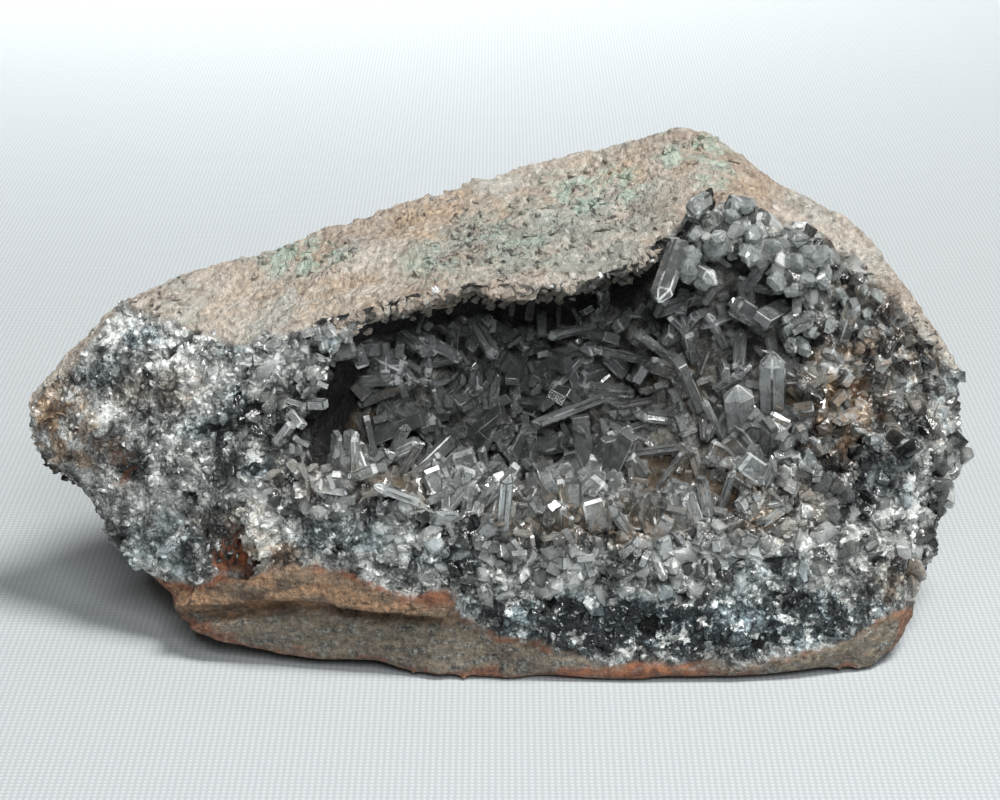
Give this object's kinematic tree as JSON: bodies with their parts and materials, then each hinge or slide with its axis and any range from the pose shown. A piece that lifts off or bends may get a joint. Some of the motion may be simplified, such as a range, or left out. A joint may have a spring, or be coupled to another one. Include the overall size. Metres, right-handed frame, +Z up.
{
  "type": "celestine specimen",
  "caption": "Broken geode of celestine: a tan rind over a grey granular wall, with a hollow lined with clear crystals, resting on a flat spot.",
  "frame": {"origin": "middle of the specimen's box, at the table it rests on", "axes": "+X along the broken front, to the viewer's right; the hollow opens towards -Y; +Z up"},
  "size_m": [0.1602, 0.0892, 0.0798],
  "materials": {
    "rock": "rough granular",
    "crystal": "clear, glassy"
  },
  "bodies": {
    "root": {"geode_rock": "rock", "crystal_crust": "crystal"}
  },
  "joints": []
}
